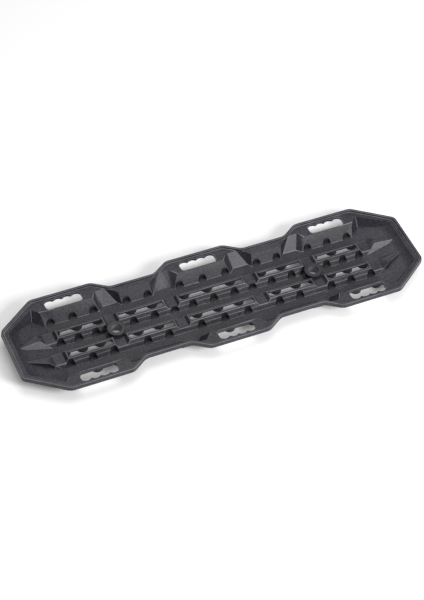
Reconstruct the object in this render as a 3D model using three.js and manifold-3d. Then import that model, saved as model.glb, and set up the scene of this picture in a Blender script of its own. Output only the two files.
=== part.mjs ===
// Vehicle traction board: one moulded nylon board with two flanged mounting bushings,
// each held from below by a notched ring nut. Millimetres, +Z up, long side along X.
// The origin is on the ground under the middle of the board.
import * as THREE from "three";
import { ConvexGeometry } from "three/addons/geometries/ConvexGeometry.js";
import { mergeVertices } from "three/addons/utils/BufferGeometryUtils.js";
import Module from "manifold-3d";

const wasm = await Module();
wasm.setup();

// Levels above the ground.
const FLOOR_TOP = 4;
const SADDLE_TOP = 16;
const RIDGE_TOP = 25;
const SKIRT_BOTTOM = 31;
const FLANGE_BOTTOM = 33.7;
const FLANGE_TOP = 37.7;
const LIP_TOP = 44;
const CUT = 1;                 // how far a cutter runs past the face that it opens

// Plan of one quarter of the outer edge, from the middle of the long side to the end.
const HALF_LENGTH = 550;
const HALF_WIDTH = 149.5;
const END_HALF_WIDTH = 78.2;
const TAB_OUTER_X = 450.5;     // the chamfer to the end starts here
const TAB_INNER_X = 286;
const WAIST_OUTER_X = 243.7;
const WAIST_INNER_X = 123.2;
const MID_TAB_X = 80;
const WAIST_HALF_WIDTH = 121.3;
const OUTLINE_RADIUS = 9;
const LIP_WIDTH = 6;
const SKIRT_WALL = 3.5;

// Tyre trough: long walls that lean out, with deeper alcoves between the grips.
const WALL_FOOT_Y = 84;
const WALL_TOP_Y = 104.7;
const ALCOVE_FOOT_Y = 95.4;
const ALCOVE_TOP_Y = 123.5;
const LEDGE_Z = 32;
const LEDGE_INNER_Y = 101.2;
const LEDGE_OUTER_Y = 115.2;
const CORE_HALF_WIDTH = 75;
const SHELL = 4.6;             // trough wall, measured level

// Ramp from the floor up to the flange at each end.
const RAMP_BACK_X = 400;       // the walls start to follow the ramp here, where it is still level
const RAMP_START_X = 430;
const RAMP_SLOPE = 0.215;
const RAMP_CURL_X = 500;
const RAMP_END_X = 532;
const RAMP_STEPS = 6;

// Plans of the trough's side bays in one quarter, as [x, y] at the flange and at the floor.
// Each starts inside the straight core.
const BAY_BACK_Y = CORE_HALF_WIDTH - 1;
const MIDDLE_BAY = {
  top: [[-1, WALL_TOP_Y], [64, WALL_TOP_Y], [-1, BAY_BACK_Y], [64, BAY_BACK_Y]],
  foot: [[-1, WALL_FOOT_Y], [78, WALL_FOOT_Y], [-1, BAY_BACK_Y], [78, BAY_BACK_Y]],
};
const END_BAY = {
  top: [[296, WALL_TOP_Y], [425, WALL_TOP_Y], [296, BAY_BACK_Y], [425, BAY_BACK_Y]],
  foot: [[283, WALL_FOOT_Y], [430, WALL_FOOT_Y], [283, BAY_BACK_Y], [430, BAY_BACK_Y]],
};
const INNER_ALCOVE = {
  top: [[64, WALL_TOP_Y], [83, ALCOVE_TOP_Y], [108.3, ALCOVE_TOP_Y], [121.3, LEDGE_OUTER_Y],
    [143, WALL_TOP_Y], [64, BAY_BACK_Y], [143, BAY_BACK_Y]],
  foot: [[78, WALL_FOOT_Y], [90, ALCOVE_FOOT_Y], [132, ALCOVE_FOOT_Y], [139, WALL_FOOT_Y],
    [78, BAY_BACK_Y], [139, BAY_BACK_Y]],
};
const OUTER_ALCOVE = {
  top: [[296, WALL_TOP_Y], [283, ALCOVE_TOP_Y], [258.3, ALCOVE_TOP_Y], [245, LEDGE_OUTER_Y],
    [228, WALL_TOP_Y], [228, BAY_BACK_Y], [296, BAY_BACK_Y]],
  foot: [[283, WALL_FOOT_Y], [272, ALCOVE_FOOT_Y], [233, ALCOVE_FOOT_Y], [224, WALL_FOOT_Y],
    [283, BAY_BACK_Y], [224, BAY_BACK_Y]],
};
const BAYS = [MIDDLE_BAY, END_BAY, INNER_ALCOVE, OUTER_ALCOVE];

// Waist wall: it stops at a ledge that slopes up to the lip.
const WAIST_FOOT = [[136, WALL_FOOT_Y], [227, WALL_FOOT_Y], [136, BAY_BACK_Y], [227, BAY_BACK_Y]];
const LEDGE_INNER = [[140, LEDGE_INNER_Y], [231, LEDGE_INNER_Y], [140, BAY_BACK_Y], [231, BAY_BACK_Y]];
const LEDGE_OUTER = [[121.3, LEDGE_OUTER_Y], [245, LEDGE_OUTER_Y]];

// Trough's end: the end bay runs on to an angled panel, then the walls close in along the ramp.
const RUN_ON = {
  top: [[RAMP_BACK_X, WALL_TOP_Y], [440, 107.6], [RAMP_BACK_X, 60], [440, 60]],
  foot: [[RAMP_BACK_X, WALL_FOOT_Y], [434, 83.8], [RAMP_BACK_X, 60], [434, 60]],
};
const FUNNEL = {
  top: [[RAMP_BACK_X, 60], [440, 107.6], [455, 122.5], [528, 74], [540, 64]],
  foot: [[RAMP_BACK_X, 60], [434, 83.8], [459, 103.5], [540, 50]],
};

// Two rows of hollow ridges.
const ROW_Y = 35.2;
const FOOT_HALF = 23.8;
const SADDLE_HALF = 17.6;
const TOP_HALF = 12.6;
const BLOCK_RUN = 7.5;         // slope at each end of a ridge block
const BLOCK_SPANS = [[-91, 91], [129, 256], [294, 419], [-256, -129], [-419, -294]];
const ROW_END_X = 456;
const BLOCK_EMBED = 2;         // how far a block's foot reaches into the saddle
const ROW_FOOT_RUN = 3;        // slope at the end of the saddle
const RIDGE_WALL = 3.6;
const SLOT_INNER_Y = 28.2;
const SLOT_OUTER_Y = 42.4;
const SLOT_END_MARGIN = 3;

// Spear at the end of each row: y is given at its inner and its outer edge.
const SPEAR_TOP = 26;
const SPEAR_FOOT_X = 432;
const SPEAR_FOOT_Y = [6.5, 63.9];
const SPEAR_FRONT_Y = [18.8, 52.8];
const SPEAR_CREST_X = 466;
const SPEAR_CREST_Y = [27.3, 47.5];
const SPEAR_TIP_X = 526;
const SPEAR_TIP_Y = 21.5;
const SPEAR_TIP_FOOT_Y = 25;

// Arched scoops that bite into the ridge flanks and the trough walls.
const SCOOP_FOOT_RADIUS = 12.5;
const SCOOP_TOP_RADIUS = 14.5;
const SCOOP_SETBACK = 3.5;     // the scoop's axis stands this far in front of the foot line
const SCOOP_WALL = 3.2;
const SCOOP_SEGMENTS = 14;
const SCOOP_SKIN_SEGMENTS = 8;
const INNER_SCOOPS_X = [0, 57.5, 108.5, 163, 219.5, 321, 368, 415];
const OUTER_SCOOPS_X = [0, 64, 153, 210.5, 300.5, 357, 415.5];

// Grip holes, straight inside and with four finger lobes outside.
const GRIP_CENTRES_X = [-368, 0, 368];
const GRIP_HALF_LENGTH = 49;
const GRIP_INNER_Y = 107.5;
const GRIP_OUTER_Y = 137.5;
const GRIP_RADIUS = 10;
const LOBE_COUNT = 4;
const LOBE_PITCH = 23.8;
const LOBE_DEPTH = 4.5;
const LOBE_STEPS = 5;
const COLLAR_WALL = 3;
const GUSSET_OFFSET_X = 62;
const GUSSET_THICKNESS = 3;
const GUSSET_PROFILE = [[86, 6], [88, 6], [143, 32], [143, 34.7], [100, 34.7]];

// Mounting bushings.
const BUSHING_X = 274;
const BORE_RADIUS = 14.3;
const SLEEVE_RADIUS = 16.4;
const FLANGE_RADIUS = 24;
const FLANGE_THICKNESS = 4;
const BUSHING_TOP = 27;
const POST_RADIUS = 20;
const BASE_RADIUS = 25.5;
const BASE_TOP = 7.5;
const NUT_RADIUS = 22;
const NUT_LOW = 0.6;
const NUT_HIGH = 4.4;
const NUT_NOTCHES = 4;
const GAP = 0.3;
const ROUND_SEGMENTS = 36;

const BOTH = [-1, 1];

const boardMaterial = new THREE.MeshStandardMaterial({ color: 0x3b3a3f, roughness: 0.55, metalness: 0 });
const bushingMaterial = new THREE.MeshStandardMaterial({ color: 0x46454b, roughness: 0.45, metalness: 0 });

function toSolid(geometry) {
  const bare = geometry.index ? geometry.clone() : geometry;
  bare.deleteAttribute("normal");
  bare.deleteAttribute("uv");
  const merged = mergeVertices(bare, 1e-4);
  return new wasm.Manifold(new wasm.Mesh({
    numProp: 3,
    vertProperties: new Float32Array(merged.attributes.position.array),
    triVerts: new Uint32Array(merged.index.array),
  }));
}

function toGeometry(solid) {
  const mesh = solid.getMesh();
  const geometry = new THREE.BufferGeometry();
  geometry.setAttribute("position", new THREE.BufferAttribute(new Float32Array(mesh.vertProperties), 3));
  geometry.setIndex(new THREE.BufferAttribute(new Uint32Array(mesh.triVerts), 1));
  geometry.computeVertexNormals();
  return geometry;
}

function joined(solids) {
  return solids.reduce((sum, next) => sum.add(next));
}

// Convex solid around [x, y, z] points.
function hull(points) {
  return toSolid(new ConvexGeometry(points.map(([x, y, z]) => new THREE.Vector3(x, y, z))));
}

// The points of a plan outline at one level.
function atLevel(outline, z) {
  return outline.map(([x, y]) => [x, y, z]);
}

// The same points moved out all round by a margin, for the skin around a hull.
function grown(points, margin) {
  if (margin === 0) return points;
  const steps = BOTH.flatMap((dx) => BOTH.map((dy) => [dx * margin, dy * margin]));
  return points.flatMap(([x, y, z]) => steps.map(([dx, dy]) => [x + dx, y + dy, z]));
}

function prism(shape, low, high, curveSegments = 3) {
  const geometry = new THREE.ExtrudeGeometry(shape, { depth: high - low, bevelEnabled: false, curveSegments });
  geometry.translate(0, 0, low);
  return toSolid(geometry);
}

function box(x0, x1, y0, y1, z0, z1) {
  const geometry = new THREE.BoxGeometry(x1 - x0, y1 - y0, z1 - z0);
  geometry.translate((x0 + x1) / 2, (y0 + y1) / 2, (z0 + z1) / 2);
  return toSolid(geometry);
}

// Upright cylinder or cone.
function column(x, y, z0, z1, lowRadius, highRadius = lowRadius, segments = ROUND_SEGMENTS) {
  const geometry = new THREE.CylinderGeometry(highRadius, lowRadius, z1 - z0, segments);
  geometry.rotateX(Math.PI / 2);
  geometry.translate(x, y, (z0 + z1) / 2);
  return toSolid(geometry);
}

// A closed outline whose corners are rounded, as a shape.
function roundedShape(corners, radius) {
  const shape = new THREE.Shape();
  corners.forEach((corner, index) => {
    const here = new THREE.Vector2(...corner);
    const before = new THREE.Vector2(...corners.at(index - 1));
    const after = new THREE.Vector2(...corners[(index + 1) % corners.length]);
    const start = here.clone().add(before.sub(here).setLength(radius));
    const end = here.clone().add(after.sub(here).setLength(radius));
    if (index === 0) shape.moveTo(start.x, start.y);
    else shape.lineTo(start.x, start.y);
    shape.quadraticCurveTo(here.x, here.y, end.x, end.y);
  });
  shape.closePath();
  return shape;
}

// The same outline moved inwards by a distance; corners run anticlockwise.
function inset(corners, distance) {
  const lines = corners.map((corner, index) => {
    const start = new THREE.Vector2(...corner);
    const along = new THREE.Vector2(...corners[(index + 1) % corners.length]).sub(start).normalize();
    return { point: start.add(new THREE.Vector2(-along.y, along.x).multiplyScalar(distance)), along };
  });
  return lines.map((line, index) => {
    const before = lines.at(index - 1);
    const gap = line.point.clone().sub(before.point);
    const share = gap.cross(line.along) / before.along.cross(line.along);
    return before.point.clone().addScaledVector(before.along, share).toArray();
  });
}

function outerOutline() {
  const quarter = [
    [HALF_LENGTH, END_HALF_WIDTH],
    [TAB_OUTER_X, HALF_WIDTH],
    [TAB_INNER_X, HALF_WIDTH],
    [WAIST_OUTER_X, WAIST_HALF_WIDTH],
    [WAIST_INNER_X, WAIST_HALF_WIDTH],
    [MID_TAB_X, HALF_WIDTH],
  ];
  const backwards = [...quarter].reverse();
  return [
    ...quarter,
    ...backwards.map(([x, y]) => [-x, y]),
    ...quarter.map(([x, y]) => [-x, -y]),
    ...backwards.map(([x, y]) => [x, -y]),
  ];
}

// Rim: a flat flange with a raised lip, and a skirt turned down around it.
function rim() {
  const outline = outerOutline();
  const whole = prism(roundedShape(outline, OUTLINE_RADIUS), SKIRT_BOTTOM, LIP_TOP);
  const dish = prism(roundedShape(inset(outline, LIP_WIDTH), OUTLINE_RADIUS - 3), FLANGE_TOP, LIP_TOP + CUT);
  const under = prism(
    roundedShape(inset(outline, SKIRT_WALL), OUTLINE_RADIUS - 2), SKIRT_BOTTOM - CUT, FLANGE_BOTTOM);
  return whole.subtract(dish).subtract(under);
}

// The straight middle of the trough, clear of its walls.
function troughCore(drop) {
  return box(-RAMP_START_X, RAMP_START_X, -CORE_HALF_WIDTH, CORE_HALF_WIDTH, FLOOR_TOP - drop, FLANGE_TOP + CUT);
}

// A plan of one quarter, put at its own end and side.
function placed(outline, end, side) {
  return outline.map(([x, y]) => [end * x, side * y]);
}

// Convex space between a plan at the flange and one at the floor, on one or both sides.
function leaningSpace({ top, foot }, end, sides, margin, drop) {
  return hull(grown(sides.flatMap((side) => [
    ...atLevel(placed(top, end, side), FLANGE_TOP),
    ...atLevel(placed(foot, end, side), FLOOR_TOP - drop),
  ]), margin));
}

// Space inside the waist wall, and the space over its ledge.
function waistSpaces(end, side, margin, drop) {
  const foot = placed(WAIST_FOOT, end, side);
  const inner = placed(LEDGE_INNER, end, side);
  const outer = placed(LEDGE_OUTER, end, side);
  const wall = [...atLevel(foot, FLOOR_TOP - drop), ...atLevel(inner, LEDGE_Z)];
  const ledge = [
    ...atLevel(inner, LEDGE_Z - drop),
    ...atLevel(outer, FLANGE_TOP - drop),
    ...atLevel([...inner, ...outer], FLANGE_TOP + CUT),
  ];
  return [hull(grown(wall, margin)), hull(grown(ledge, margin))];
}

// Height of the end ramp at a distance from the middle.
function rampHeight(x) {
  const straight = FLOOR_TOP + RAMP_SLOPE * (x - RAMP_START_X);
  const reach = Math.max(0, x - RAMP_CURL_X) / (RAMP_END_X - RAMP_CURL_X);
  const curl = FLANGE_TOP - FLOOR_TOP - RAMP_SLOPE * (RAMP_END_X - RAMP_START_X);
  return straight + curl * reach * reach;
}

// Space over the ramp in side view, as a slice of the board from one long edge to the other.
function rampSpace(end, drop) {
  const shape = new THREE.Shape();
  shape.moveTo(RAMP_BACK_X, FLOOR_TOP - drop);
  shape.lineTo(RAMP_START_X, FLOOR_TOP - drop);
  for (let step = 0; step <= RAMP_STEPS; step += 1) {
    const x = RAMP_CURL_X + (RAMP_END_X - RAMP_CURL_X) * step / RAMP_STEPS;
    shape.lineTo(x, rampHeight(x) - drop);
  }
  shape.lineTo(RAMP_END_X, LIP_TOP + CUT);
  shape.lineTo(RAMP_BACK_X, LIP_TOP + CUT);
  shape.closePath();
  const geometry = new THREE.ExtrudeGeometry(shape, { depth: 2 * HALF_WIDTH, bevelEnabled: false });
  geometry.rotateX(Math.PI / 2);
  geometry.translate(0, HALF_WIDTH, 0);
  if (end < 0) geometry.rotateZ(Math.PI);
  return toSolid(geometry);
}

// Leaning walls around the end of the trough, down to the ramp.
function troughEnd(end, margin, drop) {
  const runOns = BOTH.map((side) => leaningSpace(RUN_ON, end, [side], margin, drop));
  return joined([leaningSpace(FUNNEL, end, BOTH, margin, drop), ...runOns]).intersect(rampSpace(end, drop));
}

// The whole space that a tyre rolls through, or with a margin and a drop the skin around it.
function troughSpace(margin, drop) {
  const solids = [troughCore(drop)];
  for (const end of BOTH) {
    for (const side of BOTH) {
      solids.push(...BAYS.map((bay) => leaningSpace(bay, end, [side], margin, drop)));
      solids.push(...waistSpaces(end, side, margin, drop));
    }
    solids.push(troughEnd(end, margin, drop));
  }
  return joined(solids);
}

// One convex solid for each row, and for each end of it.
function inBothRows(points, ends = BOTH) {
  return ends.flatMap((end) => BOTH.map((side) => hull(points.map(([x, y, z]) => [end * x, side * y, z]))));
}

// Low ridge that runs the whole row, at saddle height.
function saddlePoints(wall, low) {
  const end = ROW_END_X - wall;
  const lean = (FOOT_HALF - SADDLE_HALF) / (SADDLE_TOP - FLOOR_TOP);
  const footHalf = FOOT_HALF + lean * (FLOOR_TOP - low) - wall;
  const topHalf = SADDLE_HALF - wall;
  return BOTH.flatMap((way) => [
    [way * (end + ROW_FOOT_RUN), ROW_Y - footHalf, low], [way * (end + ROW_FOOT_RUN), ROW_Y + footHalf, low],
    [way * end, ROW_Y - topHalf, SADDLE_TOP - wall], [way * end, ROW_Y + topHalf, SADDLE_TOP - wall],
  ]);
}

// Tall block that stands on the saddle ridge.
function blockPoints([start, end], wall) {
  const topHalf = TOP_HALF - wall;
  const lowHalf = SADDLE_HALF - wall;
  return [start, end].flatMap((x, index) => {
    const out = index === 0 ? -1 : 1;
    const topX = x - out * wall;
    const lowX = topX + out * BLOCK_RUN;
    const rootX = lowX - out * BLOCK_EMBED;
    return [
      [topX, ROW_Y - topHalf, RIDGE_TOP - wall], [topX, ROW_Y + topHalf, RIDGE_TOP - wall],
      [lowX, ROW_Y - lowHalf, SADDLE_TOP - wall], [lowX, ROW_Y + lowHalf, SADDLE_TOP - wall],
      [rootX, ROW_Y - lowHalf, SADDLE_TOP - wall - CUT], [rootX, ROW_Y + lowHalf, SADDLE_TOP - wall - CUT],
    ];
  });
}

// Spear: a steep front with a broad inner facet, then a crest that narrows to a point on the ramp.
function spearPoints(wall, low) {
  const frontX = ROW_END_X + wall;
  const crestX = SPEAR_CREST_X + wall;
  const footX = SPEAR_FOOT_X + wall;
  const tipX = SPEAR_TIP_X - 8 * wall;       // a hollow's tip draws back, so that the wall keeps its thickness
  const footWall = 1.6 * wall;
  return [
    [frontX, SPEAR_FRONT_Y[0] + wall, SADDLE_TOP - wall], [frontX, SPEAR_FRONT_Y[1] - wall, SADDLE_TOP - wall],
    [crestX, SPEAR_CREST_Y[0] + wall, SPEAR_TOP - wall], [crestX, SPEAR_CREST_Y[1] - wall, SPEAR_TOP - wall],
    [tipX, SPEAR_TIP_Y + wall, SPEAR_TOP - wall], [tipX, SPEAR_TIP_FOOT_Y, low],
    [footX, SPEAR_FOOT_Y[0] + footWall, low], [footX, SPEAR_FOOT_Y[1] - footWall, low],
  ];
}

// Both rows of ridges as solids that start a little way into the floor.
function ridgeRows(wall, low) {
  const solids = [...inBothRows(saddlePoints(wall, low), [1]), ...inBothRows(spearPoints(wall, low))];
  for (const span of BLOCK_SPANS) {
    solids.push(...inBothRows(blockPoints(span, wall), [1]));
  }
  return joined(solids);
}

// Places of all scoops: the foot line's y and the way that the scoop bites.
function scoopPlaces() {
  const places = [];
  const mirrored = (list) => list.flatMap((x) => (x === 0 ? [0] : [-x, x]));
  for (const side of BOTH) {
    for (const x of mirrored(INNER_SCOOPS_X)) {
      places.push({ x, y: side * (ROW_Y - FOOT_HALF - SCOOP_SETBACK), wall: false });
    }
    for (const x of mirrored(OUTER_SCOOPS_X)) {
      places.push({ x, y: side * (ROW_Y + FOOT_HALF + SCOOP_SETBACK), wall: false });
      places.push({ x, y: side * (WALL_FOOT_Y - SCOOP_SETBACK), wall: true });
    }
  }
  return places;
}

function scoops(places, extra, low, segments) {
  const high = RIDGE_TOP + CUT + extra;
  return joined(places.map(({ x, y }) => column(
    x, y, low, high, SCOOP_FOOT_RADIUS + extra, SCOOP_TOP_RADIUS + extra, segments)));
}

function slots() {
  const solids = [];
  const radius = (SLOT_OUTER_Y - SLOT_INNER_Y) / 2;
  const middle = (SLOT_OUTER_Y + SLOT_INNER_Y) / 2;
  for (const [start, end] of BLOCK_SPANS) {
    const x0 = Math.min(start, end) + SLOT_END_MARGIN;
    const x1 = Math.max(start, end) - SLOT_END_MARGIN;
    for (const side of BOTH) {
      const corners = [
        [x0, middle - radius], [x1, middle - radius], [x1, middle + radius], [x0, middle + radius],
      ].map(([x, y]) => [x, side * y]);
      const ordered = side > 0 ? corners : corners.reverse();
      solids.push(prism(roundedShape(ordered, radius * 0.8), RIDGE_TOP - RIDGE_WALL - CUT, RIDGE_TOP + CUT));
    }
  }
  return joined(solids);
}

// Plan of a grip hole: a straight side towards the trough, finger lobes on the other side.
function gripShape(centreX, side, extra) {
  const shape = new THREE.Shape();
  const half = GRIP_HALF_LENGTH + extra;
  const inner = GRIP_INNER_Y - extra;
  const outer = GRIP_OUTER_Y + extra;
  const radius = GRIP_RADIUS + extra;
  const points = [];
  for (let lobe = 0; lobe < LOBE_COUNT; lobe += 1) {
    const lobeCentre = (lobe - (LOBE_COUNT - 1) / 2) * LOBE_PITCH;
    for (let step = 0; step <= LOBE_STEPS; step += 1) {
      const across = step / LOBE_STEPS * 2 - 1;
      const depth = LOBE_DEPTH * across * across;
      points.push([lobeCentre + across * LOBE_PITCH / 2, outer - depth]);
    }
  }
  shape.moveTo(-half + radius, inner);
  shape.lineTo(half - radius, inner);
  shape.quadraticCurveTo(half, inner, half, inner + radius);
  shape.lineTo(half, outer - LOBE_DEPTH - radius * 0.6);
  points.reverse().forEach(([x, y]) => shape.lineTo(x, y));
  shape.lineTo(-half, outer - LOBE_DEPTH - radius * 0.6);
  shape.lineTo(-half, inner + radius);
  shape.quadraticCurveTo(-half, inner, -half + radius, inner);
  const placed = shape.getPoints(3).map(({ x, y }) => new THREE.Vector2(centreX + x, side * y));
  return new THREE.Shape(side > 0 ? placed : placed.reverse());
}

function grips(extra, low, high) {
  return joined(GRIP_CENTRES_X.flatMap((x) => BOTH.map((side) => prism(gripShape(x, side, extra), low, high))));
}

// Upright plates under the flange, one at each end of every grip hole.
function gussets() {
  const solids = [];
  for (const centre of GRIP_CENTRES_X) {
    for (const end of BOTH) {
      for (const side of BOTH) {
        const x = centre + end * GUSSET_OFFSET_X;
        const half = GUSSET_THICKNESS / 2;
        solids.push(hull(GUSSET_PROFILE.flatMap(([y, z]) => [[x - half, side * y, z], [x + half, side * y, z]])));
      }
    }
  }
  return joined(solids);
}

// Posts that carry the bushings, with a wider foot around the nut.
function posts() {
  const postTop = BUSHING_TOP - FLANGE_THICKNESS - GAP;
  return joined(BOTH.map((end) => column(end * BUSHING_X, 0, 0, BASE_TOP, BASE_RADIUS)
    .add(column(end * BUSHING_X, 0, CUT, postTop, POST_RADIUS + 0.8, POST_RADIUS))));
}

function postBores() {
  return joined(BOTH.map((end) => column(end * BUSHING_X, 0, -CUT, RIDGE_TOP + CUT, SLEEVE_RADIUS + GAP)
    .add(column(end * BUSHING_X, 0, -CUT, NUT_HIGH + GAP, NUT_RADIUS + GAP))));
}

function board() {
  const places = scoopPlaces();
  const inWalls = places.filter(({ wall }) => wall);
  const inRidges = places.filter(({ wall }) => !wall);
  const ground = box(-HALF_LENGTH - CUT, HALF_LENGTH + CUT, -HALF_WIDTH - CUT, HALF_WIDTH + CUT, -20, 0);
  const top = box(-HALF_LENGTH - CUT, HALF_LENGTH + CUT, -HALF_WIDTH - CUT, HALF_WIDTH + CUT, FLANGE_TOP, 60);
  const skin = troughSpace(SHELL, FLOOR_TOP)
    .add(scoops(inWalls, SCOOP_WALL, 0, SCOOP_SKIN_SEGMENTS))
    .subtract(top)
    .subtract(ground);
  const collars = grips(COLLAR_WALL, SKIRT_BOTTOM, FLANGE_TOP);
  const openSpace = troughSpace(0, 0);
  const above = prism(roundedShape(inset(outerOutline(), LIP_WIDTH), 6), FLANGE_TOP, LIP_TOP + CUT);
  const scoopCut = scoops(places, 0, FLOOR_TOP, SCOOP_SEGMENTS);
  const hollows = ridgeRows(RIDGE_WALL, -CUT)
    .subtract(scoops(inRidges, SCOOP_WALL, -2 * CUT, SCOOP_SKIN_SEGMENTS))
    .subtract(posts());
  const ridges = ridgeRows(0, 1).add(posts());
  return rim()
    .add(skin)
    .add(collars)
    .add(gussets())
    .subtract(openSpace)
    .subtract(above)
    .add(ridges)
    .subtract(hollows)
    .subtract(scoopCut)
    .subtract(slots())
    .subtract(grips(0, 10, LIP_TOP + CUT))
    .subtract(postBores());
}

function lathe(profile) {
  const geometry = new THREE.LatheGeometry(profile.map(([r, z]) => new THREE.Vector2(r, z)), ROUND_SEGMENTS);
  geometry.rotateX(Math.PI / 2);
  return geometry;
}

// Flanged sleeve, its flange lying on the post.
function bushing() {
  const low = BUSHING_TOP - FLANGE_THICKNESS;
  return lathe([
    [BORE_RADIUS, NUT_LOW], [SLEEVE_RADIUS, NUT_LOW], [SLEEVE_RADIUS, low],
    [FLANGE_RADIUS, low], [FLANGE_RADIUS, BUSHING_TOP - 1], [FLANGE_RADIUS - 1, BUSHING_TOP],
    [BORE_RADIUS + 1, BUSHING_TOP], [BORE_RADIUS, BUSHING_TOP - 1], [BORE_RADIUS, NUT_LOW],
  ]);
}

// Ring nut on the sleeve's lower end, with notches for a pin wrench.
function ringNut() {
  const ring = column(0, 0, NUT_LOW, NUT_HIGH, NUT_RADIUS)
    .subtract(column(0, 0, 0, RIDGE_TOP, SLEEVE_RADIUS + GAP));
  const notch = box(NUT_RADIUS - 2, NUT_RADIUS + CUT, -2.5, 2.5, 0, RIDGE_TOP);
  const notches = Array.from({ length: NUT_NOTCHES }, (_, index) => notch.rotate([0, 0, index * 360 / NUT_NOTCHES]));
  return toGeometry(ring.subtract(joined(notches)));
}

function named(name, geometry, material, x = 0) {
  const mesh = new THREE.Mesh(geometry, material);
  mesh.name = name;
  mesh.position.x = x;
  return mesh;
}

const tractionBoard = new THREE.Group();
tractionBoard.add(named("board", toGeometry(board()), boardMaterial));
for (const [word, end] of [["left", -1], ["right", 1]]) {
  tractionBoard.add(named(`mount_bushing_${word}`, bushing(), bushingMaterial, end * BUSHING_X));
  tractionBoard.add(named(`ring_nut_${word}`, ringNut(), bushingMaterial, end * BUSHING_X));
}

export default tractionBoard;
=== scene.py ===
import math

import bmesh
import bpy
from mathutils import Matrix, Vector


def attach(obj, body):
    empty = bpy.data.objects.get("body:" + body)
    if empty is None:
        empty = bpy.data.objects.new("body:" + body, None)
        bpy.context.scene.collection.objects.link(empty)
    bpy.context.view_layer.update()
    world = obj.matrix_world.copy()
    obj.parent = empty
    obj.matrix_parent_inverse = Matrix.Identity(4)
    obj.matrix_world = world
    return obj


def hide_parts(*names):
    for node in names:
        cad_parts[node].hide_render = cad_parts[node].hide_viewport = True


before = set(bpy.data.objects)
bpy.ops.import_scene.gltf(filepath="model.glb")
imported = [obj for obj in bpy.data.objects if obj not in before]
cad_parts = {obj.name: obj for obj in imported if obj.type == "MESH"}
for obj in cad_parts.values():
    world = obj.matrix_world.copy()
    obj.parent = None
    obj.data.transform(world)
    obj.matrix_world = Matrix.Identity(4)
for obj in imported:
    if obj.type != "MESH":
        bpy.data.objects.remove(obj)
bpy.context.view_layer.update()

MM = 0.001
BOTH = (-1, 1)

# Levels above the ground.
FLOOR_TOP = 4
SADDLE_TOP = 16
RIDGE_TOP = 25
SKIRT_BOTTOM = 31
FLANGE_BOTTOM = 33.7
SKIN_TOP = 36              # the skin of the walls ends inside the flange
FLANGE_TOP = 37.7
BAY_TOP = 41               # cutters for the trough end inside the dish of the lip
LIP_TOP = 44
CUT = 1                    # how far a cutter runs past the face that it opens

# Outer edge, one quarter of the plan.
HALF_LENGTH = 550
HALF_WIDTH = 149.5
OUTLINE_QUARTER = [(HALF_LENGTH, 78.2), (450.5, HALF_WIDTH), (286, HALF_WIDTH), (243.7, 121.3),
                   (123.2, 121.3), (80, HALF_WIDTH)]
OUTLINE_RADIUS = 9
CORNER_STEPS = 5
LIP_WIDTH = 5.6
SKIRT_WALL = 3.5
SKIRT_FLARE = 1            # the skirt's foot stands this far outside the lip

# Trough. Its plans are of one quarter, as (x, y) at the top of the walls and at their foot, and each
# starts well inside the straight core.
WALL_FOOT_Y = 84
WALL_TOP_Y = 104.7
ALCOVE_FOOT_Y = 95.4
ALCOVE_TOP_Y = 123.5
LEDGE_Z = 32
LEDGE_INNER_Y = 101.2
LEDGE_OUTER_Y = 114.9
CORE_HALF_WIDTH = 75
BAY_BACK_Y = 65
SHELL = 4.6
MIDDLE_BAY_TOP = [(-1, WALL_TOP_Y), (76, WALL_TOP_Y), (-1, BAY_BACK_Y), (76, BAY_BACK_Y)]
MIDDLE_BAY_FOOT = [(-1, WALL_FOOT_Y), (90, WALL_FOOT_Y), (-1, BAY_BACK_Y), (90, BAY_BACK_Y)]
END_BAY_TOP = [(284, WALL_TOP_Y), (425, WALL_TOP_Y), (284, BAY_BACK_Y), (425, BAY_BACK_Y)]
END_BAY_FOOT = [(271, WALL_FOOT_Y), (430, WALL_FOOT_Y), (271, BAY_BACK_Y), (430, BAY_BACK_Y)]
INNER_ALCOVE_TOP = [(64, WALL_TOP_Y), (83, ALCOVE_TOP_Y), (108.3, ALCOVE_TOP_Y), (121.3, LEDGE_OUTER_Y),
                    (143, WALL_TOP_Y), (64, BAY_BACK_Y), (143, BAY_BACK_Y)]
INNER_ALCOVE_FOOT = [(78, WALL_FOOT_Y), (90, ALCOVE_FOOT_Y), (132, ALCOVE_FOOT_Y), (139, WALL_FOOT_Y),
                     (78, BAY_BACK_Y), (139, BAY_BACK_Y)]
OUTER_ALCOVE_TOP = [(296, WALL_TOP_Y), (283, ALCOVE_TOP_Y), (258.3, ALCOVE_TOP_Y), (245, LEDGE_OUTER_Y),
                    (228, WALL_TOP_Y), (228, BAY_BACK_Y), (296, BAY_BACK_Y)]
OUTER_ALCOVE_FOOT = [(283, WALL_FOOT_Y), (272, ALCOVE_FOOT_Y), (233, ALCOVE_FOOT_Y), (224, WALL_FOOT_Y),
                     (283, BAY_BACK_Y), (224, BAY_BACK_Y)]
BAYS = [
    (MIDDLE_BAY_TOP, MIDDLE_BAY_FOOT),
    (END_BAY_TOP, END_BAY_FOOT),
    (INNER_ALCOVE_TOP, INNER_ALCOVE_FOOT),
    (OUTER_ALCOVE_TOP, OUTER_ALCOVE_FOOT),
]
WAIST_FOOT = [(136, WALL_FOOT_Y), (227, WALL_FOOT_Y), (136, BAY_BACK_Y), (227, BAY_BACK_Y)]
LEDGE_INNER = [(140, LEDGE_INNER_Y), (231, LEDGE_INNER_Y), (140, BAY_BACK_Y), (231, BAY_BACK_Y)]
LEDGE_OUTER = [(121.3, LEDGE_OUTER_Y), (245, LEDGE_OUTER_Y)]

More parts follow.
